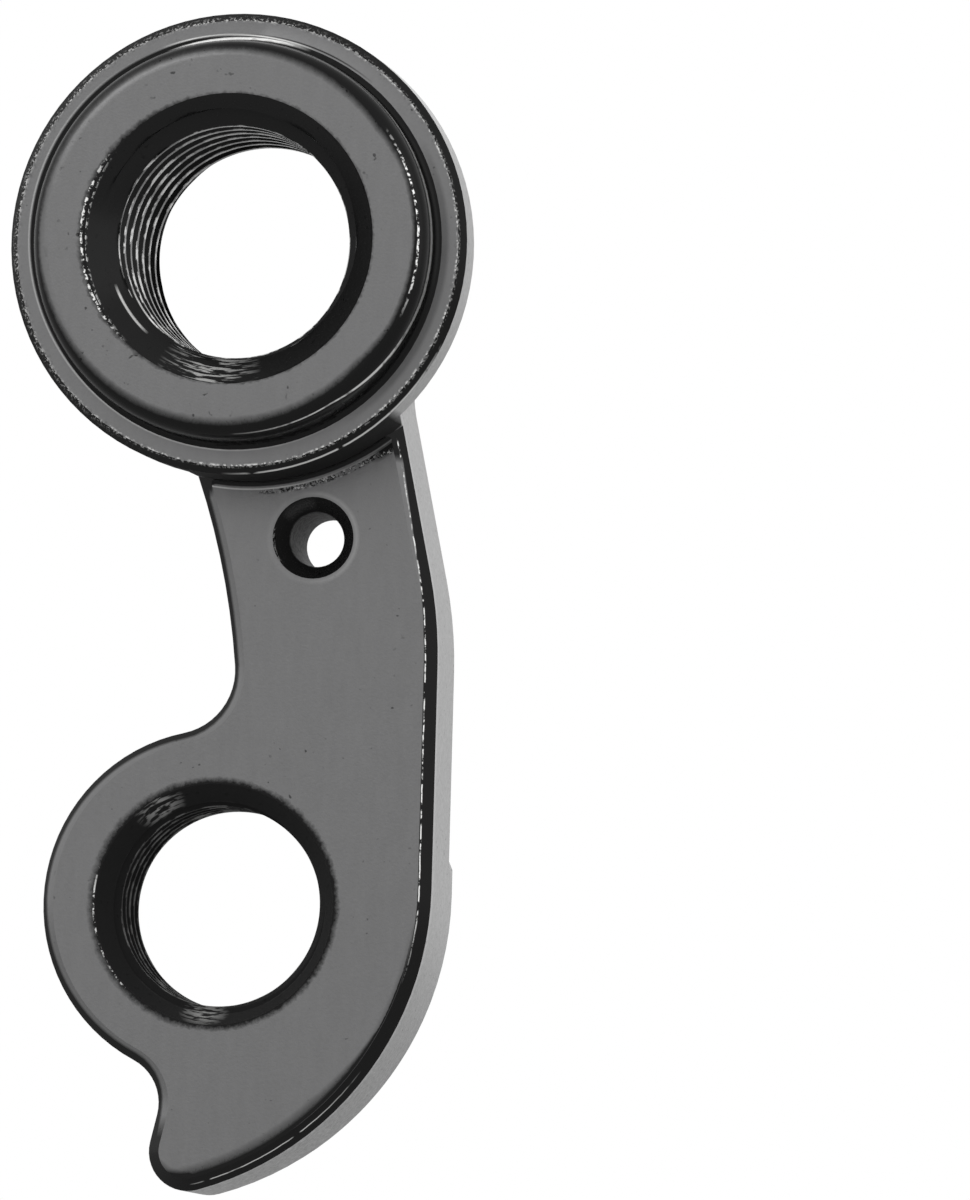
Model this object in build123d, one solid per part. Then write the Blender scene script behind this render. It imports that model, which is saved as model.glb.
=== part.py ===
from build123d import *
import math
import os

# Bicycle derailleur hanger, millimetres, machined from one block.
# The origin is on the axis of the axle thread, in the plane of the flange's seat.
# +Z is up, +X is towards the front of the bicycle and +Y is inboard, towards the wheel.
# Depth is measured along Y. Outlines are drawn in the X-Z plane, as seen from outboard.

# Depths of the faces, from the outboard end to the inboard end
BOSS_FACE_Y = -4.9
FLANGE_FRONT_Y = -2.7
SEAT_Y = 0.0
NECK_FRONT_Y = 1.5
NECK_BACK_Y = 7.5
LOWER_BACK_Y = 8.7

# Axle end: boss, flange and inboard ring, all about the axis of the axle thread
AXLE = (0.0, 0.0)
FLANGE_RADIUS = 10.5
FLANGE_FRONT_CHAMFER = 0.35
FLANGE_BACK_CHAMFER = 0.4
LEDGE_WIDTH = 1.4
BOSS_RADIUS = FLANGE_RADIUS - LEDGE_WIDTH
BOSS_RIM_ROUND = 0.8
RING_RADIUS = 8.15

# Axle thread, M12 x 1.5, bored here to the radius of its crests
AXLE_BORE_RADIUS = 5.25
AXLE_OUTBOARD_MOUTH = 6.6
AXLE_OUTBOARD_RUN = 1.2
AXLE_INBOARD_MOUTH = 6.3
AXLE_INBOARD_RUN = 1.0

# Lower end: derailleur thread, M10 x 1, in a ring below the axle
LOWER = (0.0, -29.8)
LOWER_RING_RADIUS = 8.0
LOWER_BORE_RADIUS = 4.58
LOWER_OUTBOARD_MOUTH = 5.5
LOWER_OUTBOARD_RUN = 1.5
LOWER_INBOARD_MOUTH = 5.3
LOWER_INBOARD_RUN = 0.8

# Hole for the small fixing screw, in the neck, sunk for the screw's head outboard
SCREW = (3.55, -12.9)
SCREW_RADIUS = 1.25
SCREW_OUTBOARD_MOUTH = 1.87
SCREW_OUTBOARD_RUN = 1.1
SCREW_INBOARD_MOUTH = 1.7
SCREW_INBOARD_RUN = 0.45

# Front edge of the neck: it leans out below the axle, bends, then runs nearly upright
FRONT_TOP = (5.8, -1.6)
FRONT_BEND = (9.48, -16.3)
FRONT_FOOT = (9.89, -28.6)
FRONT_NOOK = (6.6, -4.8)
FRONT_BEND_RADIUS = 20.0
FRONT_BLEND_RADIUS = 5.0

# Rear edge of the neck: one long hollow, blended into the rings above and below it
REAR_TOP = (-4.1, -6.0)
REAR_FOOT = (0.48, -22.5)
REAR_RADIUS = 35.0
REAR_TOP_NOOK = (-3.5, -7.1)
REAR_FOOT_NOOK = (0.45, -21.8)
REAR_TOP_BLEND_RADIUS = 8.5
REAR_FOOT_BLEND_RADIUS = 2.9

# Hook below the lower ring: the front edge sweeps round to its nose
HOOK_CORNER = (-2.9, -43.4)
HOOK_ROOT = (-1.45, -36.0)
HOOK_NOTCH = (-1.8, -37.6)
NOSE_RADIUS = 1.8
NOTCH_RADIUS = 2.2

# Shoulder, above which the neck is thinner on its inboard face
SHOULDER = (0.8, -31.4)
SHOULDER_RADIUS = 9.9
SHOULDER_CROWN = (4.8, -22.4)
SHOULDER_REAR_END = (-1.0, -21.7)
SHOULDER_END_ROUND = 1.0

# Edges
NECK_BACK_ROUND = 0.9
LOWER_BACK_ROUND = 1.1
FRONT_CHAMFER = 0.55
ROOT_FILLET = 0.3
SHOULDER_FILLET = 0.4

# Allowances for cutters and for picking edges
OVERRUN = 1.0
REACH = 60.0
TOUCH = 0.001


def disc(centre, radius):
    """Round outline about a centre."""
    return Pos(*centre) * Circle(radius)


def rounded(sketch, nook, radius):
    """Outline with the corner nearest to a point rounded."""
    corner = sketch.vertices().sort_by_distance((nook[0], nook[1], 0))[0]
    return fillet(corner, radius)


def slab(sketch, near_y, far_y):
    """Solid of an X-Z outline between two depths."""
    return extrude(Plane.XZ.offset(-near_y) * sketch, amount=near_y - far_y)


def edges_at(solid, depth):
    """Edges whose middles lie in the plane at a depth."""
    return solid.edges().filter_by_position(Axis.Y, depth - TOUCH, depth + TOUCH)


def nearest_edge(edges, point, depth):
    """The one of some edges that comes nearest to a point of the outline."""
    return edges.sort_by_distance((point[0], depth, point[1]))[0]


def out_to(edge):
    """Distance from the axis of the axle thread to the middle of an edge."""
    middle = edge @ 0.5
    return math.hypot(middle.X, middle.Z)


def innermost(edges):
    """The one of some edges whose middle is nearest to the axis of the axle thread."""
    return min(edges, key=out_to)


def plan_outline():
    """Outline of the ring, the neck, the lower ring and the hook, in one loop."""
    front = Polyline(AXLE, FRONT_TOP, FRONT_BEND, FRONT_FOOT)
    sweep = TangentArc(FRONT_FOOT, HOOK_CORNER, tangent=front % 1)
    hook = Polyline(HOOK_CORNER, HOOK_ROOT, LOWER, REAR_FOOT)
    rear = RadiusArc(REAR_FOOT, REAR_TOP, -REAR_RADIUS)
    outline = make_face([front, sweep, hook, rear, Line(REAR_TOP, AXLE)])
    outline += disc(AXLE, RING_RADIUS)
    outline += disc(LOWER, LOWER_RING_RADIUS)
    outline = rounded(outline, FRONT_NOOK, FRONT_BLEND_RADIUS)
    outline = rounded(outline, FRONT_BEND, FRONT_BEND_RADIUS)
    outline = rounded(outline, REAR_TOP_NOOK, REAR_TOP_BLEND_RADIUS)
    outline = rounded(outline, REAR_FOOT_NOOK, REAR_FOOT_BLEND_RADIUS)
    outline = rounded(outline, HOOK_NOTCH, NOTCH_RADIUS)
    outline = rounded(outline, HOOK_CORNER, NOSE_RADIUS)
    return outline


def pad_outline(plan):
    """Part of the outline below the shoulder, where the lower end is thicker."""
    below = Pos(SHOULDER[0], SHOULDER[1] - REACH / 2) * Rectangle(REACH, REACH)
    below += disc(SHOULDER, SHOULDER_RADIUS)
    below += disc(LOWER, LOWER_RING_RADIUS)
    return rounded(plan & below, SHOULDER_REAR_END, SHOULDER_END_ROUND)


def inboard_body(plan):
    """Inboard ring, neck, lower ring and hook, rounded along their inboard edges."""
    neck = slab(plan, SEAT_Y - OVERRUN, NECK_BACK_Y)
    neck = fillet(edges_at(neck, NECK_BACK_Y), NECK_BACK_ROUND)
    pad = slab(pad_outline(plan), NECK_FRONT_Y, LOWER_BACK_Y)
    pad = fillet(edges_at(pad, LOWER_BACK_Y), LOWER_BACK_ROUND)
    return neck + pad


def outboard_relief():
    """Space outboard of the neck: outside the flange's circle the neck lies further back."""
    space = Rectangle(2 * REACH, 2 * REACH) - disc(AXLE, FLANGE_RADIUS)
    return slab(space, FLANGE_FRONT_Y, NECK_FRONT_Y)


def axle_end():
    """Boss and flange."""
    flange = slab(disc(AXLE, FLANGE_RADIUS), FLANGE_FRONT_Y, SEAT_Y)
    flange = chamfer(edges_at(flange, FLANGE_FRONT_Y), FLANGE_FRONT_CHAMFER)
    flange = chamfer(edges_at(flange, SEAT_Y), FLANGE_BACK_CHAMFER)
    boss = slab(disc(AXLE, BOSS_RADIUS), BOSS_FACE_Y, SEAT_Y)
    boss = fillet(edges_at(boss, BOSS_FACE_Y), BOSS_RIM_ROUND)
    return flange + boss


def with_root_fillets(body):
    """Small fillets where the step, the boss and the shoulder rise from a face.

    The seat's own inner corner stays sharp, so that the flange lies flat on the frame."""
    step_root = innermost(edges_at(body, NECK_FRONT_Y))
    body = fillet(step_root, ROOT_FILLET)
    boss_root = innermost(edges_at(body, FLANGE_FRONT_Y))
    body = fillet(boss_root, ROOT_FILLET)
    shoulder_root = nearest_edge(edges_at(body, NECK_BACK_Y), SHOULDER_CROWN, NECK_BACK_Y)
    return fillet(shoulder_root, SHOULDER_FILLET)


def hole(centre, radius, outboard, inboard):
    """Cutter for a through hole; each end is the depth, the radius and the run of its cone."""
    near_y, near_mouth, near_run = outboard
    far_y, far_mouth, far_run = inboard
    near_flare = (near_mouth - radius) / near_run
    far_flare = (far_mouth - radius) / far_run
    profile = Polyline(
        (0, near_y - OVERRUN),
        (near_mouth + near_flare * OVERRUN, near_y - OVERRUN),
        (radius, near_y + near_run),
        (radius, far_y - far_run),
        (far_mouth + far_flare * OVERRUN, far_y + OVERRUN),
        (0, far_y + OVERRUN),
        close=True,
    )
    return Pos(centre[0], 0, centre[1]) * revolve(make_face(profile), Axis.Y)


def axle_hole():
    """Through hole of the axle thread, from the boss to the inboard ring."""
    outboard = (BOSS_FACE_Y, AXLE_OUTBOARD_MOUTH, AXLE_OUTBOARD_RUN)
    inboard = (NECK_BACK_Y, AXLE_INBOARD_MOUTH, AXLE_INBOARD_RUN)
    return hole(AXLE, AXLE_BORE_RADIUS, outboard, inboard)


def derailleur_hole():
    """Through hole of the derailleur thread."""
    outboard = (NECK_FRONT_Y, LOWER_OUTBOARD_MOUTH, LOWER_OUTBOARD_RUN)
    inboard = (LOWER_BACK_Y, LOWER_INBOARD_MOUTH, LOWER_INBOARD_RUN)
    return hole(LOWER, LOWER_BORE_RADIUS, outboard, inboard)


def screw_hole():
    """Through hole of the small fixing screw."""
    outboard = (NECK_FRONT_Y, SCREW_OUTBOARD_MOUTH, SCREW_OUTBOARD_RUN)
    inboard = (NECK_BACK_Y, SCREW_INBOARD_MOUTH, SCREW_INBOARD_RUN)
    return hole(SCREW, SCREW_RADIUS, outboard, inboard)


def hanger():
    """The whole part, one solid."""
    body = inboard_body(plan_outline()) - outboard_relief()
    rim = FLANGE_RADIUS + TOUCH
    front_edges = edges_at(body, NECK_FRONT_Y).filter_by(lambda edge: out_to(edge) > rim)
    body = chamfer(front_edges, FRONT_CHAMFER)
    body = with_root_fillets(body + axle_end())
    return body - axle_hole() - derailleur_hole() - screw_hole()


os.makedirs("parts", exist_ok=True)
export_step(hanger(), "parts/derailleur_hanger.step")
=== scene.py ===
"""Bicycle derailleur hanger: the machined part with its two threads cut, its finish, and the stage."""

import math

import bmesh
import bpy
from mathutils import Euler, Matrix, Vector


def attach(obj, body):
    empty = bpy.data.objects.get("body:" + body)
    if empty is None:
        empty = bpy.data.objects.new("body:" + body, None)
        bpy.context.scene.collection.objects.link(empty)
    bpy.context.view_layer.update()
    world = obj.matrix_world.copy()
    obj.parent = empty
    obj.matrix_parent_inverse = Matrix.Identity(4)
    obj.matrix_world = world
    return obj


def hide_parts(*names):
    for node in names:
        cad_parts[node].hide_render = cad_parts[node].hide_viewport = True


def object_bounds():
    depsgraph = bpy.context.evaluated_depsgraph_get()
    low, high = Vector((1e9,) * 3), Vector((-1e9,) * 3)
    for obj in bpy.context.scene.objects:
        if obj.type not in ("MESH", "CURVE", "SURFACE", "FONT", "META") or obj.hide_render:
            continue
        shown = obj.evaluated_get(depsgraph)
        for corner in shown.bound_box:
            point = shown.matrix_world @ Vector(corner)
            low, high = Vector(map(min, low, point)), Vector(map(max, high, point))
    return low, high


bl_info = {
    "name": "Derailleur hanger",
    "version": (1, 0, 0),
    "blender": (4, 5, 0),
    "location": "3D View > Sidebar > Hanger",
    "description": "Cuts the threads of a derailleur hanger, finishes it and lights it",
    "category": "Object",
}

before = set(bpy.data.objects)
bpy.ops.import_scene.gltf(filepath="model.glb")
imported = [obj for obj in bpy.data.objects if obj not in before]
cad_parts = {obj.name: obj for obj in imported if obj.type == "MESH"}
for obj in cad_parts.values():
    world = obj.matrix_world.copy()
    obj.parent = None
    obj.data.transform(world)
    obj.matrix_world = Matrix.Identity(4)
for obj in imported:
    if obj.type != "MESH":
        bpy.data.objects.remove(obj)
CAD_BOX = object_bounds()
CAD_NODE = "derailleur_hanger"
MM = 0.001

# Depths along +Y, in millimetres, of the faces that the finish tells apart
BOSS_FACE, FLANGE_FACE, SEAT, NECK_FACE, NECK_BACK, LOWER_BACK = -4.9, -2.7, 0.0, 1.5, 7.5, 8.7
FLANGE_CHAMFER, FRONT_CHAMFER = 0.35, 0.55

# Radii in millimetres. The crests are the walls of the tapped holes.
BOSS_RADIUS, BOSS_ROUND, BOSS_ROOT = 9.1, 0.8, 9.4
FLANGE_RADIUS, STEP_ROOT, RING_RADIUS = 10.5, 10.8, 8.15
AXLE_CREST, AXLE_MOUTH, AXLE_BACK_MOUTH = 5.25, 6.6, 6.3
BOLT_CREST, BOLT_MOUTH, BOLT_BACK_MOUTH = 4.58, 5.5, 5.3
SCREW_RADIUS, SCREW_MOUTH = 1.25, 1.87

# Axes along +Y, as X and Z in millimetres
AXLE, LOWER, SCREW = (0.0, 0.0), (0.0, -29.8), (3.55, -12.9)

# Front edge of the neck in X and Z, how softly it bends, where its sweep ends, and the hook's nose
FRONT_TOP, FRONT_BEND, FRONT_FOOT = (5.8, -1.6), (9.48, -16.3), (9.89, -28.6)
BEND_BLEND = 0.68
HOOK_CORNER = (-2.9, -43.4)
NOSE, NOSE_RADIUS = (-0.61, -41.07), 1.8


def arc_onwards(before, start, end):
    """Centre and radius of the arc that goes straight on from a run and comes to an end point."""
    way = (Vector(start) - Vector(before)).normalized()
    side = Vector((way.y, -way.x))
    gap = Vector(end) - Vector(start)
    radius = gap.length_squared / (2 * gap.dot(side))
    return tuple(Vector(start) + side * radius), radius


SWEEP_CENTRE, SWEEP_RADIUS = arc_onwards(FRONT_BEND, FRONT_FOOT, HOOK_CORNER)


# Node trees


class Value:
    """A socket of a node tree. Arithmetic on it adds Math nodes."""

    def __init__(self, graph, socket):
        self.graph = graph
        self.socket = socket

    def math(self, operation, *others):
        """This value and others put through a Math node."""
        return self.graph.add("ShaderNodeMath", {"operation": operation}, dict(enumerate((self, *others))))

    def output(self, name):
        """Another output of the same node."""
        return Value(self.graph, self.socket.node.outputs[name])

    def __add__(self, other):
        return self.math("ADD", other)

    def __radd__(self, other):
        return self.math("ADD", other)

    def __sub__(self, other):
        return self.math("SUBTRACT", other)

    def __rsub__(self, other):
        return self.graph.add("ShaderNodeMath", {"operation": "SUBTRACT"}, {0: other, 1: self})

    def __mul__(self, other):
        return self.math("MULTIPLY", other)

    def __truediv__(self, other):
        return self.math("DIVIDE", other)

    def __pow__(self, other):
        return self.math("POWER", other)

    def __abs__(self):
        return self.math("ABSOLUTE")

    def kept_in(self, low=0.0, high=1.0):
        """Never below low or above high."""
        return self.math("MAXIMUM", low).math("MINIMUM", high)

    def rise(self, low, high):
        """0 below low and 1 above high, and straight between them. With high under low it falls."""
        return ((self - low) / (high - low)).kept_in()

    def near(self, centre, reach):
        """1 at centre, and down to 0 a reach away from it."""
        return (1.0 - abs(self - centre) / reach).kept_in()

    def band(self, centre, reach, full=0.5):
        """A line about centre: 1 where near comes to full, and down to 0 a reach away."""
        return self.near(centre, reach).rise(0.0, full)


class Graph:
    """A shader or geometry tree, with one way to add a node."""

    def __init__(self, tree):
        self.tree = tree

    def add(self, kind, settings=None, inputs=None, output=0):
        """Add a node, set it and feed its inputs. Gives one of its outputs, or the node if it has none."""
        node = self.tree.nodes.new(kind)
        for name, value in (settings or {}).items():
            setattr(node, name, value)
        for name, value in (inputs or {}).items():
            if isinstance(value, Value):
                self.tree.links.new(value.socket, node.inputs[name])
            else:
                node.inputs[name].default_value = value
        return Value(self, node.outputs[output]) if len(node.outputs) else node


# Settings


class HangerThreads(bpy.types.PropertyGroup):
    """Sizes of the two threads. Their holes' walls are the crests."""

    axle_pitch: bpy.props.FloatProperty(
        name="Axle pitch", description="Pitch of the axle thread",
        default=1.5 * MM, unit="LENGTH")
    axle_root: bpy.props.FloatProperty(
        name="Axle root radius", description="Radius of the axle thread's grooves",
        default=6.0 * MM, unit="LENGTH")
    bolt_pitch: bpy.props.FloatProperty(
        name="Bolt pitch", description="Pitch of the derailleur bolt's thread",
        default=1.0 * MM, unit="LENGTH")
    bolt_root: bpy.props.FloatProperty(
        name="Bolt root radius", description="Radius of the bolt thread's grooves",
        default=5.0 * MM, unit="LENGTH")
    steps: bpy.props.IntProperty(
        name="Steps per turn", description="Flat facets in one turn of a thread",
        default=128, min=24)


class HangerFinish(bpy.types.PropertyGroup):
    """Colours and grain of the anodised metal, with the colours of its painted shade and painted highlights.
    """

    face_color: bpy.props.FloatVectorProperty(
        name="Face colour", description="Blasted and anodised faces",
        subtype="COLOR", default=(0.175, 0.175, 0.176))
    # Painted reflection: the walls' grey is lighter than the faces' to stand for the white surroundings they
    # reflect at a grazing angle
    wall_sheen_color: bpy.props.FloatVectorProperty(
        name="Wall colour", description="Side walls left by the mill",
        subtype="COLOR", default=(0.33, 0.33, 0.33))
    # Painted shade: this near-black on chamfers, roundings and hole walls stands for the dark surroundings
    # they reflect and the shade in the holes
    edge_shade_color: bpy.props.FloatVectorProperty(
        name="Edge colour", description="Chamfers, rounded edges and hole walls",
        subtype="COLOR", default=(0.006, 0.006, 0.006))
    # Painted highlight: this pale colour draws the glints along edges, crests and mouths, and also the rubbed
    # bare places in the tapped holes
    highlight_and_wear_color: bpy.props.FloatVectorProperty(
        name="Worn colour", description="Bare metal where an edge has rubbed",
        subtype="COLOR", default=(0.83, 0.83, 0.82))
    grain: bpy.props.FloatProperty(
        name="Grain", description="Size of the blasted grain",
        default=0.12 * MM, unit="LENGTH")


class HangerStage(bpy.types.PropertyGroup):
    """Floor and light."""

    floor_drop: bpy.props.FloatProperty(
        name="Floor drop", description="From the lowest point of the hanger down to the floor",
        default=32 * MM, unit="LENGTH")
    floor_color: bpy.props.FloatVectorProperty(
        name="Floor colour", description="Plain pale floor",
        subtype="COLOR", default=(0.85, 0.85, 0.85))
    key_power: bpy.props.FloatProperty(
        name="Key light", description="Power of the large soft light",
        default=1.2, unit="POWER")


# Threads

# Facets across one pitch, and as shares of a pitch from the crest's middle, where its flat ends
# and where the groove's flat begins
PROFILE_STEPS = 16
CREST_HALF, ROOT_HALF = 2 / 16, 7 / 16
THREAD_INPUTS = {
    "NodeSocketFloat": (
        "Crest radius", "Root radius", "Pitch", "Start", "Start mouth", "Start run",
        "End", "End mouth", "End run", "Axis X", "Axis Z",
    ),
    "NodeSocketInt": ("Steps per turn", "Turns"),
    "NodeSocketMaterial": ("Material",),
}

# Distances in metres within which points become one: in the solid, in a thread, and in both
# together. Edges shorter than a sliver go.
SOLID_WELD, THREAD_WELD, JOINED_WELD, SLIVER = 1e-6, 5e-7, 4e-7, 1e-8


def thread_tree():
    """A tapped hole along +Y: a helical strip, kept to the hole's length and opened by its two cones."""
    tree = bpy.data.node_groups.new("Tapped hole", "GeometryNodeTree")
    tree.interface.new_socket("Geometry", in_out="INPUT", socket_type="NodeSocketGeometry")
    for kind, names in THREAD_INPUTS.items():
        for name in names:
            tree.interface.new_socket(name, in_out="INPUT", socket_type=kind)
    tree.interface.new_socket("Geometry", in_out="OUTPUT", socket_type="NodeSocketGeometry")
    graph = Graph(tree)
    given = graph.add("NodeGroupInput")
    size = {name: given.output(name) for names in THREAD_INPUTS.values() for name in names}
    rows = PROFILE_STEPS + 1
    columns = size["Steps per turn"] * size["Turns"] + 1
    strip = graph.add("GeometryNodeMeshGrid", None, {"Vertices X": columns, "Vertices Y": rows}, "Mesh")
    index = graph.add("GeometryNodeInputIndex")
    column = ((index + 0.5) / rows).math("FLOOR")
    across = (index - column * rows) / PROFILE_STEPS
    turn = column / size["Steps per turn"]
    from_crest = 0.5 - abs(across - 0.5)
    groove = from_crest.rise(CREST_HALF, ROOT_HALF)
    depth = size["Start"] + size["Pitch"] * (turn + across - 1.0)
    depth = depth.kept_in(size["Start"], size["End"])
    crest = size["Crest radius"]
    into_start = (1.0 - (depth - size["Start"]) / size["Start run"]).kept_in()
    into_end = (1.0 - (size["End"] - depth) / size["End run"]).kept_in()
    radius = crest + (size["Root radius"] - crest) * groove
    radius = radius.math("MAXIMUM", crest + (size["Start mouth"] - crest) * into_start)
    radius = radius.math("MAXIMUM", crest + (size["End mouth"] - crest) * into_end)
    angle = turn * (2 * math.pi)
    x = size["Axis X"] + radius * angle.math("SINE")
    z = size["Axis Z"] + radius * angle.math("COSINE")
    place = graph.add("ShaderNodeCombineXYZ", None, {"X": x, "Y": depth, "Z": z})
    wound = graph.add("GeometryNodeSetPosition", None, {"Geometry": strip, "Position": place})
    closed = graph.add("GeometryNodeMergeByDistance", None, {"Geometry": wound, "Distance": THREAD_WELD})
    real = graph.add("GeometryNodeRealizeInstances", None, {"Geometry": closed})
    done = graph.add("GeometryNodeSetMaterial", None, {"Geometry": real, "Material": size["Material"]})
    graph.add("NodeGroupOutput", None, {"Geometry": done})
    return tree


def tapped_hole(name, tree, values):
    """The plain mesh of one tapped hole."""
    holder = bpy.data.objects.new(name, bpy.data.meshes.new(name))
    bpy.context.scene.collection.objects.link(holder)
    modifier = holder.modifiers.new("Tapped hole", "NODES")
    modifier.node_group = tree
    for item in tree.interface.items_tree:
        if item.in_out == "INPUT" and item.name in values:
            modifier[item.identifier] = values[item.name]
    bpy.context.view_layer.update()
    ready = holder.evaluated_get(bpy.context.evaluated_depsgraph_get())
    mesh = bpy.data.meshes.new_from_object(ready)
    bpy.data.objects.remove(holder)
    return mesh


# Finish

# Height of the bump, and the gloss of the anodised surfaces, whose black is painted shade
BUMP_DEPTH = 0.012 * MM
DARK_GLOSS = 0.14
# Marks of turning on the inboard ring, in radians per millimetre outwards
TURNING = 42
# The mill that faced the seat: how far its axis was from the axle and how wide it swung, in
# millimetres, how far the wave of its marks goes on in each radian, and the colours of their two sides
CUTTER_OFFSET, CUTTER_RADIUS = 6.5, 5.5
BOLD_MARKS, FINE_MARKS = 150, 210
SEAT_DARK, SEAT_PALE = (0.05, 0.05, 0.05), (0.34, 0.34, 0.34)
# Rubbed places in the tapped holes: centre and reach in millimetres
AXLE_WORN = (((-0.6, -4.5, -6.1), 2.4), ((2.2, 7.2, -5.6), 3.0))
BOLT_WORN = (
    ((-2.9, 2.0, -25.4), 1.3), ((-2.4, 5.0, -33.7), 1.0), ((-0.3, 2.4, -34.9), 1.2),
    ((-1.5, 8.4, -25.0), 2.6), ((-1.2, 8.2, -34.6), 2.4),
)
# Sockets of a Mix node set to colours, which have the names of its other sockets too
MIX_FACTOR, MIX_FIRST, MIX_SECOND, MIX_RESULT = 0, 6, 7, 2


class Finish:
    """A material whose patterns are written in millimetres of the part's own frame."""

    def __init__(self, name, settings):
        self.settings = settings
        self.material = bpy.data.materials.new(name)
        self.material.use_nodes = True
        self.material.node_tree.nodes.clear()
        self.graph = Graph(self.material.node_tree)
        self.place = self.graph.add("ShaderNodeTexCoord", None, None, "Object")
        parts = self.graph.add("ShaderNodeSeparateXYZ", None, {"Vector": self.place}, "X")
        self.x = parts / MM
        self.y = parts.output("Y") / MM
        self.z = parts.output("Z") / MM

    def noise(self, size, detail=2.0, roughness=0.5, stretch=None):
        """Noise from 0 to 1 about 0.5, whose blobs are about size millimetres across."""
        place = self.place
        if stretch:
            place = self.graph.add("ShaderNodeMapping", None, {"Vector": place, "Scale": stretch})
        inputs = {"Vector": place, "Scale": 1 / (size * MM), "Detail": detail, "Roughness": roughness}
        return self.graph.add("ShaderNodeTexNoise", None, inputs)

    def uneven(self, size, depth, roughness=0.5):
        """Noise about 0 that makes an outline wander, by half of depth either way at most."""
        return (self.noise(size, roughness=roughness) - 0.5) * depth

    def spots(self, size, low, high, detail=2.0, roughness=0.5):
        """Noise cut into spots: 0 where it is below low, and 1 where it is above high."""
        return self.noise(size, detail, roughness).rise(low, high)

    def facing(self):
        """How far the surface faces the front of the bicycle, and how far it faces up."""
        normal = self.graph.add("ShaderNodeNewGeometry", None, None, "Normal")
        parts = self.graph.add("ShaderNodeSeparateXYZ", None, {"Vector": normal}, "X")
        return parts, parts.output("Z")

    def arcs(self, axis, width, length):
        """Noise in arcs about an axis, each about width wide and length long, in millimetres."""
        turn = (self.z - axis[1]).math("ARCTAN2", self.x - axis[0])
        parts = {"X": turn * 5.0 / length, "Y": self.out_from(axis) / width, "Z": self.y / length}
        place = self.graph.add("ShaderNodeCombineXYZ", None, parts)
        inputs = {"Vector": place, "Scale": 1.0, "Detail": 2.0, "Roughness": 0.55}
        return self.graph.add("ShaderNodeTexNoise", None, inputs)

    def out_from(self, axis):
        """Distance from an axis along +Y, in millimetres."""
        across = self.x - axis[0]
        up = self.z - axis[1]
        return (across * across + up * up).math("SQRT")

    def towards(self, axis, degrees):
        """Cosine of the angle between a direction from an axis and the place: 0 is the front, 90 up."""
        turn = math.radians(degrees)
        along = (self.x - axis[0]) * math.cos(turn) + (self.z - axis[1]) * math.sin(turn)
        return along / self.out_from(axis)

    def side(self, axis, degrees):
        """The same cosine, but 0 on the far side of the axis."""
        return self.towards(axis, degrees).math("MAXIMUM", 0.0)

    def sector(self, axis, degrees, half, full=None):
        """1 within full degrees of a direction from an axis, and 0 more than half degrees away."""
        full = half * 0.6 if full is None else full
        return self.towards(axis, degrees).rise(math.cos(math.radians(half)), math.cos(math.radians(full)))

    def patch(self, centre, reach):
        """1 at a point and down to 0 a reach away from it."""
        places = {0: self.place, 1: Vector(centre) * MM}
        gap = self.graph.add("ShaderNodeVectorMath", {"operation": "DISTANCE"}, places, "Value")
        return (1.0 - gap / (MM * reach)).kept_in()

    def patches(self, places):
        """Several patches, each given by its centre and its reach."""
        return sum(self.patch(centre, reach) for centre, reach in places)

    def mix(self, factor, first, second):
        """Colour first where factor is 0 and second where it is 1."""
        settings = {"data_type": "RGBA", "clamp_factor": True}
        first, second = (c if isinstance(c, Value) else (*c, 1.0) for c in (first, second))
        inputs = {MIX_FACTOR: factor, MIX_FIRST: first, MIX_SECOND: second}
        return self.graph.add("ShaderNodeMix", settings, inputs, MIX_RESULT)

    def scaled(self, color, tone):
        """A colour made lighter or darker."""
        settings = {"operation": "SCALE"}
        return self.graph.add("ShaderNodeVectorMath", settings, {0: color, 3: tone}, "Vector")

    def surface(self, color, metallic, roughness, height):
        """Principled surface with a fine bump, height 1 standing BUMP_DEPTH proud."""
        relief = {"Height": height, "Distance": BUMP_DEPTH, "Strength": 1.0}
        bump = self.graph.add("ShaderNodeBump", None, relief)
        inputs = {
            "Base Color": color, "Metallic": metallic, "Roughness": roughness, "Normal": bump,
            "Specular IOR Level": DARK_GLOSS,
        }
        shader = self.graph.add("ShaderNodeBsdfPrincipled", None, inputs)
        self.graph.add("ShaderNodeOutputMaterial", None, {"Surface": shader})
        return self.material

    def blasted(self, dark, bright, tone=1.0, dull=0.0):
        """Grey blasted metal with grain and pits: black painted shade where dark is 1, and pale painted
        highlight or rubbed bare metal where bright is 1.

        Tone makes the grey lighter, and dull adds to the roughness."""
        grain = self.noise(self.settings.grain / MM, 3.0, 0.6)
        streak = self.noise(0.45, 3.0, 0.6, (1, 1, 0.25))
        pits = self.spots(0.3, 0.70, 0.76, 1.0) * self.spots(2.2, 0.5, 0.6)
        shade = (1.0 + (grain - 0.5) * 0.16 + (streak - 0.5) * 0.14) * tone
        # Painted shade where dark is 1 and painted highlight where bright is 1, over the grain and pits
        dark = (dark + pits * 0.6).kept_in()
        grey = self.scaled(self.settings.face_color, shade)
        color = self.mix(bright, self.mix(dark, grey, self.settings.edge_shade_color), self.settings.highlight_and_wear_color)
        metallic = 1.0 - dark * (1.0 - bright)
        rough = 0.36 + (grain - 0.5) * 0.2 - dark * 0.12 + bright * 0.1 + dull
        height = grain * (0.6 - dark * 0.45) - dark * 0.4 + bright * 0.5
        return self.surface(color, metallic, rough, height)


def boss_dark(f):
    """Painted shade on the boss's rounding: it starts early towards the front and the bottom, and late at the
    rear.
    """
    late = f.towards(AXLE, 165) * 0.25 + f.sector(AXLE, 0, 40) * 0.2 - f.side(AXLE, 270) * 0.12
    soft = 0.07 + abs(f.towards(AXLE, 90)) * 0.14
    past = f.out_from(AXLE) + f.uneven(0.25, 0.12) - (BOSS_RADIUS - 0.6 + late)
    return (past / soft * 0.5 + 0.5).kept_in()


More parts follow.
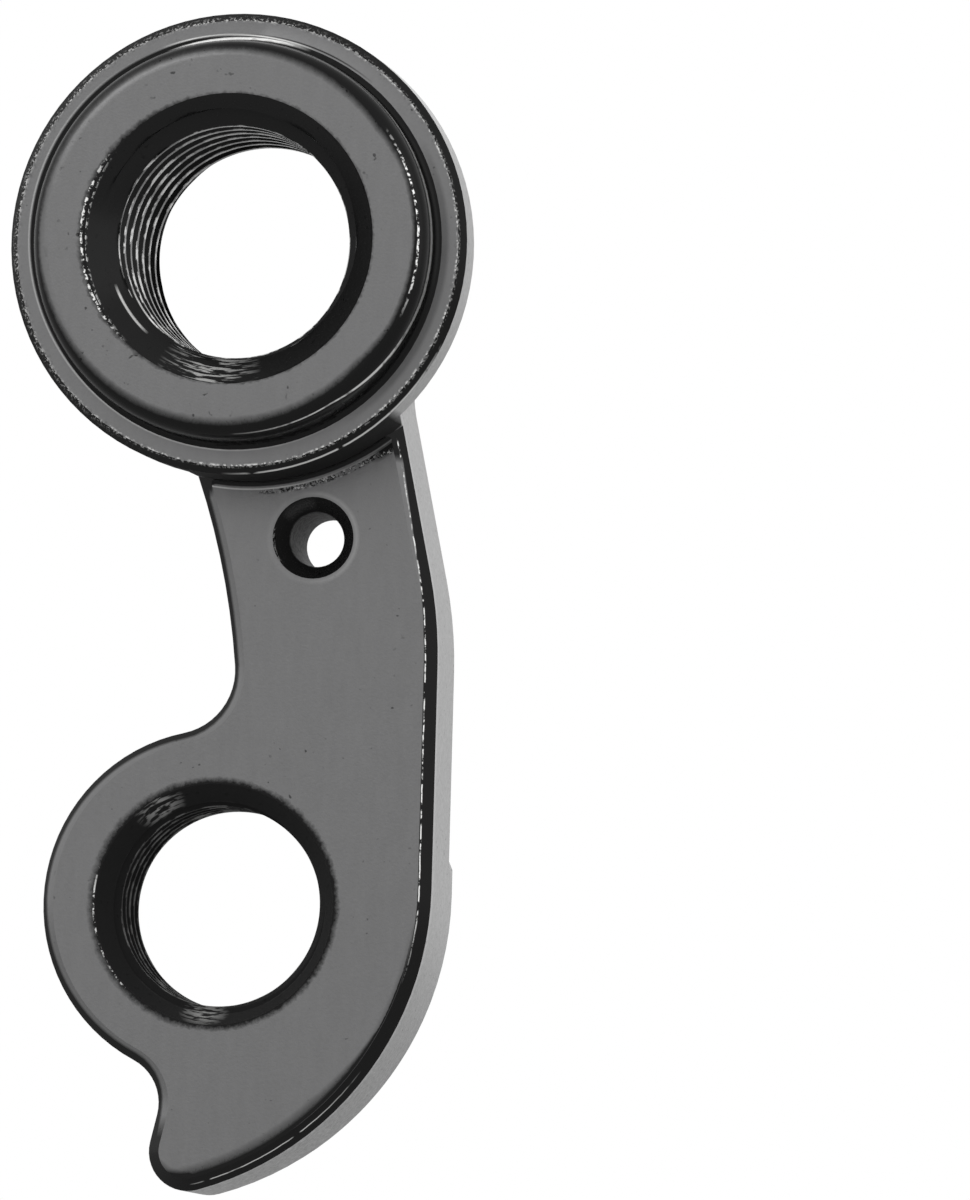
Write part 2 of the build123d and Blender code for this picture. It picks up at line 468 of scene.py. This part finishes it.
def boss_face(f):
    """Outboard face of the boss, in painted shade where the axle thread's cone begins and on the rounding,
    with a broken painted highlight along the mouth at the rear.
    """
    out = f.out_from(AXLE)
    rim = AXLE_MOUTH - 0.04 + f.side(AXLE, 178) ** 2 * 0.3
    ragged = f.uneven(0.22, 0.3)
    # Painted shade: a dark ring outside the cone's mouth, wider at the rear
    dark = (out + ragged).rise(rim + 0.14, rim - 0.1) + boss_dark(f)
    # Painted highlight: a broken bright line along the mouth at the rear
    line = (out + ragged * 0.4).band(rim - 0.07, 0.08)
    bright = line * f.sector(AXLE, 187, 42) * f.spots(0.16, 0.5, 0.56, roughness=0.6)
    return f.blasted(dark.kept_in(), bright)


def boss_rim(f):
    """Rounding, side and root of the boss, in painted shade with painted highlights, and darker painted shade
    on the rounding's rear above.
    """
    out = f.out_from(AXLE)
    # Painted highlight: a broken bright line round the rounding at the front
    crown_highlight = (out + f.uneven(0.5, 0.1)).band(BOSS_RADIUS - 0.43, 0.06)
    crown_highlight = crown_highlight * f.sector(AXLE, 8, 30) * f.spots(0.3, 0.46, 0.54, 3.0, 0.65)
    # Painted highlight: a thin line that runs down the side at the front and over onto the rounding below
    along = out + f.y - BOSS_FACE
    down = f.sector(AXLE, 77, 132, 90)
    line = (abs(along - (BOSS_RADIUS + down * 1.2)) / (0.06 + down * 0.24)).rise(1.0, 0.6)
    line = line * f.sector(AXLE, -8, 80) * f.spots(0.8, 0.3, 0.42)
    # Painted highlight on the root at the top
    crest = f.sector(AXLE, 93, 21) * out.rise(BOSS_ROOT - 0.16, BOSS_ROOT - 0.1)
    crest = crest * f.y.rise(FLANGE_FACE - 0.2, FLANGE_FACE - 0.08)
    bright = (crown_highlight + line * 0.8 + crest * 0.7).kept_in()
    # Painted shade: the rounding's rear, above, is a little darker than the face
    rounding = f.sector(AXLE, 130, 65) * out.rise(BOSS_RADIUS - BOSS_ROUND, BOSS_RADIUS - 0.45)
    return f.blasted(boss_dark(f), bright, 1.0 - rounding * 0.28)


def flange_face(f):
    """Ledge of the flange round the boss, with painted shade at and beside the boss's root and speckled
    towards the rim, and painted highlights along the root and the rim.
    """
    out = f.out_from(AXLE)
    foot = BOSS_ROOT - 0.06 + f.side(AXLE, 150) ** 2 * 0.28
    rim = FLANGE_RADIUS - FLANGE_CHAMFER
    # Painted shade: beside the boss's root at the front, a dark line by the root at the top, specks towards
    # the rim, and a dark band at the root that is wider at the rear
    shade = out.rise(BOSS_ROOT + 0.38, BOSS_ROOT + 0.2) * f.sector(AXLE, -12, 45) * 0.3
    groove = out.near(BOSS_ROOT + 0.1, 0.05) * f.sector(AXLE, 86, 34)
    grit = out.rise(rim - 0.25, rim - 0.05) * f.spots(0.16, 0.55, 0.7) * 0.3
    dark = out.rise(foot + 0.05, foot - 0.03) + groove + shade + grit
    # Painted highlights: lines along the root at the rear and the top, and specks along the rim
    line = out.near(foot + 0.08, 0.06) * (f.sector(AXLE, 215, 90) * 0.28 + f.sector(AXLE, 93, 22) * 0.7)
    edge = out.near(rim - 0.02, 0.09) * (0.25 + f.sector(AXLE, -30, 110) * 0.6)
    edge = edge * f.spots(0.14, 0.5, 0.6, roughness=0.6)
    return f.blasted(dark.kept_in(), (line + edge).kept_in(), 1.02)


def flange_rim(f):
    """Chamfer of the flange in painted shade: black outside, with speckled painted highlights inside, more so
    at the rear and the top, and a broken one along its outer part at the lower front.
    """
    across = f.y.rise(FLANGE_FACE, FLANGE_FACE + FLANGE_CHAMFER)
    grit = f.noise(0.13, 2.0, 0.7, (1, 0.5, 1))
    # Painted highlights: specks on the inner part and a broken line on the outer part
    specks = grit.rise(0.52, 0.62) * across.rise(0.75, 0.35) * f.sector(AXLE, 150, 100)
    inner = across.rise(0.3, 0.1) * grit.rise(0.5, 0.58)
    outer = across.band(0.9, 0.14, 0.6) * f.sector(AXLE, -57, 34) * f.spots(0.8, 0.35, 0.45)
    return f.blasted(1.0, ((specks + inner) * 0.35 + outer * 0.7).kept_in())


def in_from(f, start, end):
    """Distance in from a straight run of the front edge, in millimetres."""
    run = (Vector(end) - Vector(start)).normalized()
    return (f.x - start[0]) * run.y - (f.z - start[1]) * run.x


def front_inside(f):
    """Distance in from the front edge of the neck and the hook, in millimetres."""
    upper, lower = in_from(f, FRONT_TOP, FRONT_BEND), in_from(f, FRONT_BEND, FRONT_FOOT)
    neck = upper.math("SMOOTH_MIN", lower, BEND_BLEND)
    below = f.z.rise(FRONT_FOOT[1] + 0.1, FRONT_FOOT[1] - 0.9)
    return neck * (1.0 - below) + (SWEEP_RADIUS - f.out_from(SWEEP_CENTRE)) * below


def hook_dark(f):
    """Painted shade along the border of the hook's face: wide along the sweep, and round the nose."""
    inside = front_inside(f)
    sweep = f.sector(SWEEP_CENTRE, -75, 50)
    border = 1.0 - (inside + f.uneven(0.25, 0.1) - 0.58) / (0.06 + sweep * 0.52)
    border = border.kept_in() + inside.rise(0.82, 0.6) * 0.35
    bend = f.z.rise(-40.6, -42.3) * f.x.rise(0.2, -0.4)
    nose = 1.0 - (NOSE_RADIUS - f.out_from(NOSE) - bend * 0.5) / (0.05 + bend * 0.6)
    return border * f.z.rise(-30.0, -33.0) + nose.kept_in() * bend


def scraped(f):
    """What is dark and what is bright in the strip scraped beside the step, which widens to the front:
    speckled marks of scraping, painted shade by the step's root in a wedge at the front, and a painted
    highlight on the root.
    """
    past = f.out_from(AXLE) - STEP_ROOT
    wedge = f.sector(AXLE, -38, 18)
    scrape = past.near(0.17 + wedge * 0.3, 0.16) * f.sector(AXLE, -62, 26)
    dark = scrape.rise(0.1, 0.5) * f.spots(0.17, 0.45, 0.55, 3.0, 0.7)
    # Painted shade by the step's root, in a wedge towards the front
    dark = dark + past.rise(0.05 + wedge * 0.45, wedge * 0.4) * wedge
    dark = dark + past.rise(0.5, 0.3) * f.sector(AXLE, -46, 11)
    # Painted highlight along the step's root
    root = past.band(0.03, 0.05, 0.6) * (0.1 + f.sector(AXLE, -100, 30) * 0.3)
    return dark, root + scrape * f.spots(0.12, 0.57, 0.62, roughness=0.6) * 0.6


def neck_face(f):
    """Outboard face of the neck, the lower ring and the hook, with painted shade round the bolt's mouth,
    along the hook's border and by the step, and painted highlights at the mouths and on the step's root.
    """
    out = f.out_from(LOWER)
    start = BOLT_MOUTH + 0.32 + f.side(LOWER, 180) * 0.08
    # Painted shade: a dark ring outside the bolt's cone, wider at the rear
    mouth = (out + f.uneven(0.2, 0.3, 0.6)).rise(start, BOLT_MOUTH + 0.06)
    # Painted highlights: broken dots along the bolt's mouth at the rear, and a faint ring round the screw's
    # mouth
    dots = out.band(BOLT_MOUTH + 0.08, 0.05) * f.sector(LOWER, 198, 36) * f.spots(0.16, 0.5, 0.6) * 0.8
    halo = f.out_from(SCREW).near(SCREW_MOUTH + 0.15, 0.16) * (f.sector(SCREW, 10, 110) * 0.08 + 0.03)
    scrape_dark, scrape_bright = scraped(f)
    dark = hook_dark(f) + mouth + scrape_dark
    return f.blasted(dark.kept_in(), (dots + halo + scrape_bright).kept_in())


def neck_rim(f):
    """Chamfers and step root outboard in painted shade: black where they face the front, grey with a black
    outline at the rear, with broken painted highlight lines.
    """
    across = f.y.rise(NECK_FACE, NECK_FACE + FRONT_CHAMFER)
    front, up = f.facing()
    ahead = front.rise(0.1, 0.35)
    top = f.z.rise(-17.0, -9.0)
    hook = f.z.rise(-39.5, -40.5)
    # Painted shade by the way the chamfer faces: black at the front, grey with a black outline at the rear,
    # and black in corners, at the hook and at the step's root
    rear_dark = (across - (0.5 - abs(up) * 0.38 + up * 0.12)) / 0.25
    front_dark = (across - (top * 0.55 - 0.02)) / 0.06
    corners = f.z.rise(-11.3, -10.9) * f.x.rise(-1.1, -1.3) + f.z.rise(-9.3, -8.9) * ahead
    root = f.y.rise(NECK_FACE, NECK_FACE - 0.02)
    dark = rear_dark.kept_in() * (1.0 - ahead) + front_dark.kept_in() * ahead + hook + corners + root
    wander = f.uneven(0.6, 0.16)
    # Painted highlights: broken lines along the neck and the sweep
    neck_line = (across + wander * 0.6).band(0.12 + top * 0.3, 0.06, 0.6) * f.z.rise(-33.0, -29.0)
    neck_line = neck_line * (1.0 - top * f.spots(0.4, 0.55, 0.45)) * f.spots(0.35, 0.45, 0.53, 3.0, 0.65)
    sweep_line = (across + wander * 0.3).band(0.5, 0.045, 0.6) * f.sector(SWEEP_CENTRE, -68, 34)
    sweep_line = sweep_line * f.spots(0.8, 0.35, 0.45) * 0.8
    bright = (neck_line + sweep_line) * ahead.math("MAXIMUM", hook * f.x.rise(-0.2, 0.6))
    # Painted light and shade: the grey is lighter across the chamfer and darker where it faces the front
    return f.blasted(dark.kept_in(), bright.kept_in(), 1.0 + across * 0.12 - ahead * 0.14)


def back_face(f):
    """Inboard faces of the ring, the neck and the lower ring, with faint marks of turning on the ring and
    painted shade round the mouths of both holes.
    """
    out, low = f.out_from(AXLE), f.out_from(LOWER)
    turned = (out * TURNING).math("SINE") * out.rise(RING_RADIUS + 0.45, RING_RADIUS - 0.15)
    grit = f.uneven(0.2, 0.3, 0.6)
    # Painted shade round the mouths of both holes
    dark = (low + grit).rise(BOLT_BACK_MOUTH + 0.25, BOLT_BACK_MOUTH - 0.05)
    dark = dark * f.y.rise(LOWER_BACK - 0.2, LOWER_BACK)
    dark = dark + (out + grit).rise(AXLE_BACK_MOUTH + 0.3, AXLE_BACK_MOUTH - 0.05)
    return f.blasted(dark.kept_in(), 0.0, 1.0 + turned * 0.03)


def back_rim(f):
    """Rounded inboard edges and the shoulder's root in painted shade, with broken painted highlight lines at
    the front.
    """
    sparse = f.spots(0.9, 0.5, 0.6, roughness=0.6)
    depth = f.y + f.uneven(1.2, 0.12)
    lines = depth.near(NECK_BACK - 0.25, 0.09) * 0.6 + depth.near(LOWER_BACK - 0.33, 0.1)
    return f.blasted(1.0, (lines * sparse * f.x.rise(3.0, 5.0)).kept_in())


def milled_seat(f):
    """Flange's seat: arcs left by the mill, bold at the front and fine at the top and the rear."""
    out = f.out_from(AXLE)
    angle = f.z.math("ARCTAN2", f.x)
    # Angle at the axle between the mill's own axis and a place on its path
    gap = CUTTER_OFFSET ** 2 - CUTTER_RADIUS ** 2
    swing = ((out * out + gap) / (out * (2 * CUTTER_OFFSET))).kept_in(-1.0, 1.0).math("ARCCOSINE")
    bold = ((angle + swing * 1.6) * BOLD_MARKS).math("SINE")
    fine = ((angle - swing * 0.7) * FINE_MARKS).math("SINE")
    side = angle.near(-0.25, 1.4)
    marks = bold * side + fine * (1.0 - side) * 0.6
    broken = f.spots(0.5, 0.3, 0.6)
    color = f.mix((0.5 + marks * broken * 0.5).kept_in(), SEAT_DARK, SEAT_PALE)
    grain = f.noise(f.settings.grain / MM, 3.0, 0.6)
    return f.surface(color, 1.0, 0.32 + broken * 0.1, marks * 1.2 + grain * 0.2)


def milled_wall(f):
    """Milled sides: pale, partly as painted reflection, with fine specks, a painted highlight beside the
    front chamfer, darker towards the hook, and painted shade under the flange and round the inboard ring.
    """
    out = f.out_from(AXLE)
    grain = f.noise(f.settings.grain / MM * 1.7, 4.0, 0.7)
    speck = f.spots(0.22, 0.66, 0.76, roughness=0.6)
    lines = f.noise(0.25, 2.0, 0.5, (1, 6, 1))
    hook = f.z.rise(-34.0, -41.0)
    # Painted highlight on the wall beside the front chamfer
    pale = f.y.near(NECK_FACE + FRONT_CHAMFER + 0.2, 0.4) * f.z.rise(-6.0, -9.0)
    tone = 1.04 + pale * 0.25 - hook * 0.3 + (grain - 0.5) * (1.5 + hook * 1.5) + (lines - 0.5) * 0.4
    # Painted shade under the flange and round the inboard ring
    step = f.sector(AXLE, -78, 35, 32) * out.rise(FLANGE_RADIUS + 0.1, FLANGE_RADIUS + 0.05)
    step = step * f.y.rise(FLANGE_FACE + 0.25, FLANGE_FACE + 0.4) * f.y.rise(NECK_FACE + 0.4, NECK_FACE + 0.1)
    black = step + out.rise(RING_RADIUS + 0.35, RING_RADIUS + 0.05)
    dark = (speck * 0.7 + black).kept_in()
    # The pale wall grey is partly painted reflection
    color = f.mix(dark, f.scaled(f.settings.wall_sheen_color, tone), f.settings.edge_shade_color)
    return f.surface(color, 1.0 - black, 0.42 + black * 0.5 + (grain - 0.5) * 0.3, grain - speck)


def threaded_wall(f):
    """Walls of the two tapped holes in painted shade, with broken painted highlights on the crests and the
    mouth's rim, one bright line in the axle thread's cone, and rubbed places at the mouths.
    """
    axle, low = f.out_from(AXLE), f.out_from(LOWER)
    breaks = f.spots(0.9, 0.5, 0.58, 3.0, 0.6) * (1.0 - f.sector(AXLE, 90, 50) * 0.5)
    # Painted highlights on the crests, fewer at the top
    crest = (axle.band(AXLE_CREST + 0.01, 0.03) + low.near(BOLT_CREST + 0.01, 0.03) * 0.3) * breaks
    axle_worn = f.patches(AXLE_WORN) * f.arcs(AXLE, 0.1, 0.9).rise(0.5, 0.56)
    bolt_worn = f.patches(BOLT_WORN) * f.arcs(LOWER, 0.12, 0.7).rise(0.46, 0.56) * 0.7
    worn = ((axle_worn + bolt_worn) * 1.4).kept_in()
    # One long bright line in the axle thread's cone
    cone_line = (axle + f.y * 0.3).band(4.46, 0.05) * f.sector(AXLE, 217, 14)
    # Painted highlight: a broken line along the mouth's rim at the rear
    rim = axle.rise(AXLE_MOUTH - 0.1, AXLE_MOUTH + 0.02) * f.sector(AXLE, 187, 42)
    rim = rim * f.spots(0.16, 0.5, 0.56, roughness=0.6)
    bright = (crest * 0.75 + worn * 0.6 + cone_line * 0.7).kept_in() + rim
    dull = low.rise(BOLT_MOUTH + 0.5, BOLT_MOUTH + 0.4) * 0.5
    # Painted shade over the whole wall
    return f.blasted(0.97, bright.kept_in(), 1.0, dull)


def screw_wall(f):
    """Screw hole: a cone in painted shade outboard, lighter in one patch and with a broken painted highlight
    on its rim, and a grey wall left by the drill.
    """
    out = f.out_from(SCREW)
    bore = out.rise(SCREW_RADIUS + 0.04, SCREW_RADIUS + 0.01)
    rough = f.spots(0.2, 0.42, 0.58, 3.0, 0.75)
    # A lighter patch on the cone
    lighter_patch = f.sector(SCREW, 120, 30) * out.near(SCREW_MOUTH - 0.27, 0.25) * 0.35
    # Painted shade on the cone, less on the drilled wall
    dark = 0.93 - bore * (0.05 + rough * 0.6) - lighter_patch
    # Painted highlight along the cone's rim at the rear
    rim = out.rise(SCREW_MOUTH - 0.09, SCREW_MOUTH - 0.02) * f.sector(SCREW, 195, 30)
    rim = rim * f.spots(0.14, 0.5, 0.56)
    return f.blasted(dark.kept_in(), rim, 0.85, bore * 0.35)


FINISHES = (
    boss_face, boss_rim, flange_face, flange_rim, neck_face, neck_rim, back_face, back_rim,
    milled_seat, milled_wall, threaded_wall, screw_wall,
)


# The hanger

HOLES = {
    "axle": {
        "Crest radius": AXLE_CREST, "Axis X": AXLE[0], "Axis Z": AXLE[1],
        "Start": BOSS_FACE, "Start mouth": AXLE_MOUTH, "Start run": 1.2,
        "End": NECK_BACK, "End mouth": AXLE_BACK_MOUTH, "End run": 1.0,
    },
    "bolt": {
        "Crest radius": BOLT_CREST, "Axis X": LOWER[0], "Axis Z": LOWER[1],
        "Start": NECK_FACE, "Start mouth": BOLT_MOUTH, "Start run": 1.5,
        "End": LOWER_BACK, "End mouth": BOLT_BACK_MOUTH, "End run": 0.8,
    },
}
# How far short of the mouth a thread's mesh stops, in metres
LIP = 0.02 * MM
# How far from a given depth and from a hole's wall a point still counts as on it, in millimetres
DEPTH_SLACK, WALL_SLACK = 0.01, 0.05
# How far from a mouth's depth its open edges may lie in metres, and a reach wider than any mouth
MOUTH_SLACK, MOUTH_REACH = 0.03 * MM, 7 * MM
# How squarely a face points along Y: from where it is flat, below where it may be a hole's wall,
# and below where it is an upright side
FLAT, NOT_FLAT, UPRIGHT = 0.999, 0.95, 0.03
# Angle between faces from where their edge is sharp, and the weight of large faces in the shading
SHARP = math.radians(28)
FACE_WEIGHT = 80


def hole_radius(hole, depth):
    """Radius of a hole's plain wall or cone at a depth, in millimetres."""
    crest = hole["Crest radius"]
    into_start = max(0.0, 1 - (depth - hole["Start"]) / hole["Start run"])
    into_end = max(0.0, 1 - (hole["End"] - depth) / hole["End run"])
    return crest + max((hole["Start mouth"] - crest) * into_start, (hole["End mouth"] - crest) * into_end)


def on_wall(hole, point):
    """Whether a point, in metres, lies on a hole's plain wall or cones."""
    x, y, z = (c / MM for c in point)
    if not hole["Start"] - DEPTH_SLACK <= y <= hole["End"] + DEPTH_SLACK:
        return False
    out = math.hypot(x - hole["Axis X"], z - hole["Axis Z"])
    return abs(out - hole_radius(hole, y)) < WALL_SLACK


def open_edges(bm, hole, depth):
    """Open edges of the mesh round one mouth of a hole, at a depth in metres."""
    axis = Vector((hole["Axis X"], hole["Axis Z"])) * MM

    def round_mouth(vert):
        return abs(vert.co.y - depth) < MOUTH_SLACK and (vert.co.xz - axis).length < MOUTH_REACH

    return [
        edge for edge in bm.edges
        if len(edge.link_faces) == 1 and all(round_mouth(vert) for vert in edge.verts)
    ]


FLATS = {
    BOSS_FACE: "boss_face", FLANGE_FACE: "flange_face", SEAT: "milled_seat", NECK_FACE: "neck_face",
    NECK_BACK: "back_face", LOWER_BACK: "back_face",
}


def region(face):
    """Name of the finish that a face of the plain solid gets, by the way it points and where it is."""
    middle = face.calc_center_median() / MM
    out = math.hypot(middle.x, middle.z)
    if abs(face.normal.y) > FLAT:
        return next(name for depth, name in FLATS.items() if abs(middle.y - depth) < DEPTH_SLACK)
    if math.hypot(middle.x - SCREW[0], middle.z - SCREW[1]) < SCREW_MOUTH + 0.13:
        return "screw_wall"
    if out < BOSS_ROOT + 0.01 and middle.y < FLANGE_FACE:
        return "boss_rim"
    if abs(face.normal.y) < UPRIGHT:
        return "milled_wall"
    if middle.y < FLANGE_FACE + FLANGE_CHAMFER:
        return "flange_rim"
    if SEAT < middle.y < NECK_FACE + FRONT_CHAMFER:
        return "neck_rim"
    return "back_rim"


def add_thread(bm, mesh, hole, mouths, finish):
    """Put a tapped hole's mesh into the solid's open hole, and join the two round both mouths."""
    mesh.polygons.foreach_set("material_index", [finish] * len(mesh.polygons))
    bm.from_mesh(mesh)
    bmesh.ops.remove_doubles(bm, verts=bm.verts, dist=JOINED_WELD)
    for mouth in mouths:
        joined = bmesh.ops.bridge_loops(bm, edges=open_edges(bm, hole, mouth))
        for face in joined["faces"]:
            face.material_index = finish


def thread_values(hole, pitch, root, steps, material):
    """Inputs of the tapped hole's tree, in metres. It stops a lip short of each mouth, on the cone."""
    values = {key: value * MM for key, value in hole.items()}
    for end, way in (("Start", 1), ("End", -1)):
        slope = (values[end + " mouth"] - values["Crest radius"]) / values[end + " run"]
        values[end] += way * LIP
        values[end + " mouth"] -= slope * LIP
        values[end + " run"] -= LIP
    turns = math.ceil((values["End"] - values["Start"]) / pitch) + 1
    values.update({"Root radius": root, "Pitch": pitch, "Steps per turn": steps, "Turns": turns})
    values["Material"] = material
    return values


def opened_solid():
    """The machined solid without the walls of its tapped holes, each face marked for its finish."""
    bm = bmesh.new()
    bm.from_mesh(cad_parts[CAD_NODE].data)
    bmesh.ops.remove_doubles(bm, verts=bm.verts, dist=SOLID_WELD)
    walls = [
        face for face in bm.faces
        if abs(face.normal.y) < NOT_FLAT
        and any(all(on_wall(hole, v.co) for v in face.verts) for hole in HOLES.values())
    ]
    bmesh.ops.delete(bm, geom=walls, context="FACES")
    order = [paint.__name__ for paint in FINISHES]
    for face in bm.faces:
        face.material_index = order.index(region(face))
    return bm


def smoothed(bm):
    """Smooth the closed mesh but for its sharp edges, with its faces outwards."""
    bmesh.ops.dissolve_degenerate(bm, dist=SLIVER, edges=bm.edges)
    bmesh.ops.recalc_face_normals(bm, faces=bm.faces)
    for face in bm.faces:
        face.smooth = True
    for edge in bm.edges:
        edge.smooth = edge.is_manifold and edge.calc_face_angle(0.0) < SHARP
    if any(not edge.is_manifold for edge in bm.edges):
        raise RuntimeError("the threaded hanger isn't closed")


def shaded_by_large_faces(context, piece):
    """Give a piece normals that follow its large faces, as plain mesh data."""
    modifier = piece.modifiers.new("Face normals", "WEIGHTED_NORMAL")
    modifier.keep_sharp = True
    modifier.weight = FACE_WEIGHT
    context.view_layer.update()
    shaded = bpy.data.meshes.new_from_object(piece.evaluated_get(context.evaluated_depsgraph_get()))
    piece.modifiers.clear()
    plain, piece.data = piece.data, shaded
    bpy.data.meshes.remove(plain)
    shaded.name = piece.name


class HANGER_OT_body(bpy.types.Operator):
    """Copy the machined solid, cut the two threads into it and give each kind of surface its finish"""

    bl_idname = "hanger.body"
    bl_label = "Threaded hanger"

    def execute(self, context):
        threads = context.scene.hanger_threads
        settings = context.scene.hanger_finish
        finishes = [paint(Finish(paint.__name__, settings)) for paint in FINISHES]
        wall = FINISHES.index(threaded_wall)
        bm = opened_solid()
        tree = thread_tree()
        for name, hole in HOLES.items():
            pitch, root = getattr(threads, name + "_pitch"), getattr(threads, name + "_root")
            values = thread_values(hole, pitch, root, threads.steps, finishes[wall])
            thread = tapped_hole(name + "_thread", tree, values)
            add_thread(bm, thread, hole, (hole["Start"] * MM, hole["End"] * MM), wall)
            bpy.data.meshes.remove(thread)
        smoothed(bm)
        mesh = bpy.data.meshes.new("threaded_hanger")
        bm.to_mesh(mesh)
        bm.free()
        for finish in finishes:
            mesh.materials.append(finish)
        hanger = bpy.data.objects.new("threaded_hanger", mesh)
        context.scene.collection.objects.link(hanger)
        shaded_by_large_faces(context, hanger)
        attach(hanger, "root")
        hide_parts(CAD_NODE)
        return {"FINISHED"}


# Stage, in metres and degrees

# Camera of the photograph's outboard view. Its focal length is in pixels of a picture 1200 high.
CAMERA_PLACE = (0.1131, -0.6085, -0.0576)
CAMERA_TURN = (93.915, -3.413, 9.21)
CAMERA_FOCUS = 13653
PICTURE_HEIGHT = 1200
SENSOR_HEIGHT = 36

FLOOR_RADIUS = 0.9
# Soft lights: name, place, and power as a share of the key light's. They face the part's middle.
LIGHTS = (
    ("key", (-0.35, -0.55, 0.45), 1.0),
    ("fill", (0.55, -0.35, 0.2), 0.4),
    ("back", (0.0, 0.6, 0.45), 0.6),
)
LIGHT_WIDTH = 0.5
LIGHT_AIM = (0, 0, -0.016)


def put(context, name, data):
    """A new object in the scene."""
    made = bpy.data.objects.new(name, data)
    context.scene.collection.objects.link(made)
    return made


def plain_floor(context, level, color):
    """Round floor, plain and pale."""
    mesh = bpy.data.meshes.new("floor")
    bm = bmesh.new()
    bmesh.ops.create_circle(bm, cap_ends=True, segments=96, radius=FLOOR_RADIUS)
    bmesh.ops.translate(bm, verts=bm.verts, vec=(0, 0, level))
    bm.to_mesh(mesh)
    bm.free()
    pale = bpy.data.materials.new("pale_floor")
    pale.use_nodes = True
    pale.node_tree.nodes.clear()
    graph = Graph(pale.node_tree)
    matt = graph.add("ShaderNodeBsdfPrincipled", None, {"Base Color": (*color, 1), "Roughness": 0.9})
    graph.add("ShaderNodeOutputMaterial", None, {"Surface": matt})
    mesh.materials.append(pale)
    floor = put(context, "floor", mesh)


def soft_light(context, name, place, power):
    """Square light that faces the part."""
    lamp = bpy.data.lights.new(name, "AREA")
    lamp.size = LIGHT_WIDTH
    lamp.energy = power
    holder = put(context, name, lamp)
    holder.location = place
    holder.rotation_euler = (Vector(LIGHT_AIM) - Vector(place)).to_track_quat("-Z", "Y").to_euler()


def white_world():
    """World that the camera and the part's gloss see as white, and that lights the part a little less."""
    world = bpy.data.worlds.new("studio")
    world.use_nodes = True
    world.node_tree.nodes.clear()
    graph = Graph(world.node_tree)
    rays = graph.add("ShaderNodeLightPath", None, None, "Is Camera Ray")
    shown = (rays + rays.output("Is Glossy Ray") + rays.output("Is Transmission Ray")).kept_in()
    plain = graph.add("ShaderNodeBackground", None, {"Color": (0.9, 0.9, 0.9, 1), "Strength": 0.6})
    white = graph.add("ShaderNodeBackground", None, {"Color": (1, 1, 1, 1), "Strength": 1.0})
    mixed = graph.add("ShaderNodeMixShader", None, {0: shown, 1: plain, 2: white})
    graph.add("ShaderNodeOutputWorld", None, {"Surface": mixed})
    return world


def photo_camera(context):
    """Camera that sees the part as the photograph's outboard view does."""
    camera = bpy.data.cameras.new("camera")
    camera.sensor_fit = "VERTICAL"
    camera.sensor_height = SENSOR_HEIGHT
    camera.lens = CAMERA_FOCUS / PICTURE_HEIGHT * SENSOR_HEIGHT
    camera.clip_start = 0.01
    holder = put(context, "camera", camera)
    holder.location = CAMERA_PLACE
    holder.rotation_euler = Euler([math.radians(a) for a in CAMERA_TURN], "XYZ")
    return holder


class HANGER_OT_stage(bpy.types.Operator):
    """Make the plain floor, the soft lights, the white background and the camera"""

    bl_idname = "hanger.stage"
    bl_label = "Stage"

    def execute(self, context):
        stage = context.scene.hanger_stage
        lowest = CAD_BOX[0][2]
        plain_floor(context, lowest - stage.floor_drop, stage.floor_color)
        for name, place, share in LIGHTS:
            soft_light(context, name, place, stage.key_power * share)
        context.scene.world = white_world()
        context.scene.camera = photo_camera(context)
        context.scene.view_settings.view_transform = "Standard"
        return {"FINISHED"}


# Panel and running


class HANGER_PT_panel(bpy.types.Panel):
    """The pieces of the hanger, in the 3D view's sidebar"""

    bl_idname = "HANGER_PT_panel"
    bl_label = "Derailleur hanger"
    bl_space_type = "VIEW_3D"
    bl_region_type = "UI"
    bl_category = "Hanger"

    def draw(self, context):
        layout = self.layout
        for group in (context.scene.hanger_threads, context.scene.hanger_finish, context.scene.hanger_stage):
            box = layout.box()
            for name in group.__annotations__:
                box.prop(group, name)
        for operator in (HANGER_OT_body, HANGER_OT_stage):
            layout.operator(operator.bl_idname)


CLASSES = (HangerThreads, HangerFinish, HangerStage, HANGER_OT_body, HANGER_OT_stage, HANGER_PT_panel)


def register():
    for item in CLASSES:
        bpy.utils.register_class(item)
    bpy.types.Scene.hanger_threads = bpy.props.PointerProperty(type=HangerThreads)
    bpy.types.Scene.hanger_finish = bpy.props.PointerProperty(type=HangerFinish)
    bpy.types.Scene.hanger_stage = bpy.props.PointerProperty(type=HangerStage)


def unregister():
    del bpy.types.Scene.hanger_stage
    del bpy.types.Scene.hanger_finish
    del bpy.types.Scene.hanger_threads
    for item in reversed(CLASSES):
        bpy.utils.unregister_class(item)


def main():
    register()
    bpy.ops.hanger.body()
    bpy.ops.hanger.stage()


if __name__ == "__main__":
    main()
